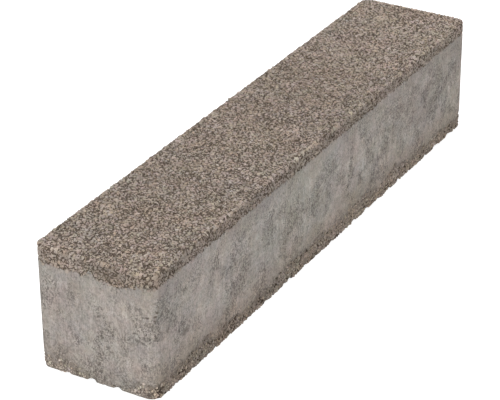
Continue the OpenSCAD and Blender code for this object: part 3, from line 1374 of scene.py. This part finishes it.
class PALISADE_OT_washed_stones(bpy.types.Operator):
    """Bed the washed stones and grit in the rinsed top of the block"""

    bl_idname = "palisade.washed_stones"
    bl_label = "Washed stones"

    def execute(self, context):
        cast, washed = context.scene.palisade_cast, context.scene.palisade_washed
        material = bare_stone(
            "washed_stone",
            STONE_SHADES,
            STONE_TINTS,
            # Stones deep in the gaps are painted towards the mortar's colour as shade
            shade_and_dirt_colour=washed.mortar_and_shade_colour,
            shade_and_dirt_depths=(1.10, 2.00),
            pore_shade_colour=cast.pore_shade_colour,
            pore_size=2.7,
            film_and_shade_colour=washed.film_and_shade_colour,
        )

        def rule(vert, rinse):
            """Everywhere in the ragged washed zone but in its pits."""
            ragged = 1.6 * rough(vert.co, 3 * MM, 23.0)
            return ease(-1.6, 0.2, rinse + ragged) * (1.0 - pit_share(vert.co))

        cover_note("stone_cover", WASHED, rule)
        bed_stones(
            "washed_stones",
            material,
            stone_shapes("stone_shapes", count=12, corners=12, flatness=0.80, seed=11),
            "stone_cover",
            spacing=washed.stone_spacing,
            radius=washed.stone_radius,
            tops=(0.16, 0.42),
            seed=21,
            columns=100,
        )
        bed_stones(
            "washed_grit",
            material,
            stone_shapes("grit_shapes", count=8, corners=9, flatness=0.85, seed=12),
            "stone_cover",
            spacing=washed.grit_spacing,
            radius=washed.grit_radius,
            tops=(0.35, 0.95),
            seed=31,
            columns=120,
        )
        big_stones(material)
        return {"FINISHED"}


class PALISADE_OT_foot_crumbs(bpy.types.Operator):
    """Bed the crumbs along the crumbled foot of the block"""

    bl_idname = "palisade.foot_crumbs"
    bl_label = "Foot crumbs"

    def execute(self, context):
        foot = context.scene.palisade_foot
        material = bare_stone(
            "foot_stone",
            CRUMB_SHADES,
            FOOT_TINTS,
            shade_and_dirt_colour=CRUMB_SHADE_AND_DIRT,
            shade_and_dirt_depths=(0.9, 2.8),
            pore_shade_colour=context.scene.palisade_cast.pore_shade_colour,
            pore_size=3.2,
        )

        def rule(vert, crumble):
            """Everywhere in the ragged foot but underneath, and thinner on the near end."""
            ragged = 6.0 * rough(vert.co, 4 * MM, 29.0)
            on_end = ease(-296 * MM, -299 * MM, vert.co.x)
            cover = ease(-5.0, 5.0, crumble + ragged) * ease(-0.8, -0.3, vert.normal.z)
            return cover * (1.0 - 0.4 * on_end)

        cover_note("crumb_cover", CRUMBLED, rule)
        bed_stones(
            "foot_crumbs",
            material,
            stone_shapes("crumb_shapes", count=8, corners=10, flatness=0.8, seed=13),
            "crumb_cover",
            spacing=foot.crumb_spacing,
            radius=foot.crumb_radius,
            tops=(0.15, 0.80),
            seed=41,
            columns=100,
        )
        return {"FINISHED"}


def seen_directly(tree):
    """1 for what the camera sees straight, in a mirror or through glass, and 0 for light."""
    path = add_node(tree, "ShaderNodeLightPath").outputs
    seen = maths(tree, "MAXIMUM", path["Is Camera Ray"], path["Is Glossy Ray"])
    return maths(tree, "MAXIMUM", seen, path["Is Transmission Ray"])


def studio_floor(stage):
    """A white floor that keeps the shadows and looks white to the camera."""
    material = bpy.data.materials.new("studio_floor")
    material.use_nodes = True
    tree = material.node_tree
    tree.nodes.clear()
    diffuse = add_node(tree, "ShaderNodeBsdfDiffuse", None, {"Color": (0.80, 0.80, 0.80, 1.0)})
    faint = add_node(tree, "ShaderNodeBsdfDiffuse", None, {"Color": (0.50, 0.50, 0.50, 1.0)})
    glow = add_node(tree, "ShaderNodeEmission", None, {"Strength": 0.78})
    glowing = {0: faint.outputs[0], 1: glow.outputs[0]}
    both = add_node(tree, "ShaderNodeAddShader", None, glowing)
    shades = {0: seen_directly(tree), 1: diffuse.outputs[0], 2: both.outputs[0]}
    shown = add_node(tree, "ShaderNodeMixShader", None, shades)
    output = add_node(tree, "ShaderNodeOutputMaterial")
    tree.links.new(shown.outputs[0], output.inputs["Surface"])
    bm = bmesh.new()
    bmesh.ops.create_grid(bm, x_segments=1, y_segments=1, size=stage.floor_size / 2)
    floor = new_piece("studio_floor", bm, material)


def studio_world():
    """Soft light from all round, and white behind the block."""
    world = bpy.data.worlds.new("studio_world")
    world.use_nodes = True
    tree = world.node_tree
    tree.nodes.clear()
    shades = {0: seen_directly(tree)}
    for slot, strength in ((1, 0.50), (2, 1.0)):
        light = {"Color": (1.0, 1.0, 1.0, 1.0), "Strength": strength}
        shades[slot] = add_node(tree, "ShaderNodeBackground", None, light).outputs[0]
    shown = add_node(tree, "ShaderNodeMixShader", None, shades)
    output = add_node(tree, "ShaderNodeOutputWorld")
    tree.links.new(shown.outputs[0], output.inputs["Surface"])
    bpy.context.scene.world = world


def soft_box(name, place, aim, size, power):
    """A square area lamp at a place, turned towards what it lights."""
    lamp = bpy.data.lights.new(name, "AREA")
    lamp.size = size
    lamp.energy = power
    holder = bpy.data.objects.new(name, lamp)
    holder.location = place
    holder.rotation_euler = (Vector(aim) - Vector(place)).to_track_quat("-Z", "Y").to_euler()
    bpy.context.scene.collection.objects.link(holder)


def studio_camera(stage):
    """A long lens that looks down on the block past its near corner."""
    turn, rise = stage.azimuth, stage.elevation
    back = Vector(
        (math.sin(turn) * math.cos(rise), -math.cos(turn) * math.cos(rise), math.sin(rise))
    )
    level = Vector((math.cos(turn), math.sin(turn), 0.0))
    above = back.cross(level)
    right = level * math.cos(stage.roll) + above * math.sin(stage.roll)
    up = above * math.cos(stage.roll) - level * math.sin(stage.roll)
    aim = MIDDLE + right * stage.aim_across + up * stage.aim_up
    camera = bpy.data.cameras.new("camera")
    camera.sensor_width = 36.0
    camera.lens = stage.lens
    camera.clip_start = 0.05
    holder = bpy.data.objects.new("camera", camera)
    holder.matrix_world = Matrix.Translation(aim + back * stage.distance) @ Matrix(
        (right, up, back)
    ).transposed().to_4x4()
    bpy.context.scene.collection.objects.link(holder)
    bpy.context.scene.camera = holder


class PALISADE_OT_stage(bpy.types.Operator):
    """Set the floor, the lamps and the camera"""

    bl_idname = "palisade.stage"
    bl_label = "Studio stage"

    def execute(self, context):
        stage = context.scene.palisade_stage
        studio_floor(stage)
        studio_world()
        near_end = (LOW.x, 0.0, MIDDLE.z)
        soft_box("key_lamp", (-1.5, -0.12, 0.8), near_end, size=0.8, power=12.6)
        soft_box("top_lamp", (0.3, 0.4, 1.5), (0.0, 0.0, HIGH.z), size=1.5, power=15.5)
        soft_box("side_lamp", (0.12, -1.6, 0.5), tuple(MIDDLE), size=1.5, power=10.4)
        studio_camera(stage)
        context.scene.view_settings.view_transform = "Standard"
        return {"FINISHED"}


class PALISADE_PT_panel(bpy.types.Panel):
    """The steps that make the palisade, and the sizes that they use"""

    bl_idname = "PALISADE_PT_panel"
    bl_label = "Concrete Palisade"
    bl_space_type = "VIEW_3D"
    bl_region_type = "UI"
    bl_category = "Palisade"

    def draw(self, context):
        for name in ("palisade_cast", "palisade_washed", "palisade_foot", "palisade_stage"):
            settings = getattr(context.scene, name)
            box = self.layout.box()
            box.label(text=name.replace("_", " ").capitalize())
            for key in type(settings).__annotations__:
                box.prop(settings, key)
        for operator in OPERATORS:
            self.layout.operator(operator.bl_idname)


SETTINGS = {
    "palisade_cast": PalisadeCastSettings,
    "palisade_washed": PalisadeWashedSettings,
    "palisade_foot": PalisadeFootSettings,
    "palisade_stage": PalisadeStageSettings,
}
OPERATORS = (
    PALISADE_OT_cast_block,
    PALISADE_OT_washed_stones,
    PALISADE_OT_foot_crumbs,
    PALISADE_OT_stage,
)


def register():
    """Adds the settings, the operators and the panel."""
    for name, group in SETTINGS.items():
        bpy.utils.register_class(group)
        setattr(bpy.types.Scene, name, bpy.props.PointerProperty(type=group))
    for part in (*OPERATORS, PALISADE_PT_panel):
        bpy.utils.register_class(part)


def unregister():
    """Takes them away again, in the opposite order."""
    for part in reversed((*OPERATORS, PALISADE_PT_panel)):
        bpy.utils.unregister_class(part)
    for name, group in reversed(SETTINGS.items()):
        delattr(bpy.types.Scene, name)
        bpy.utils.unregister_class(group)


def main():
    """Makes every piece and the stage."""
    register()
    bpy.ops.palisade.cast_block()
    bpy.ops.palisade.washed_stones()
    bpy.ops.palisade.foot_crumbs()
    bpy.ops.palisade.stage()


if __name__ == "__main__":
    main()
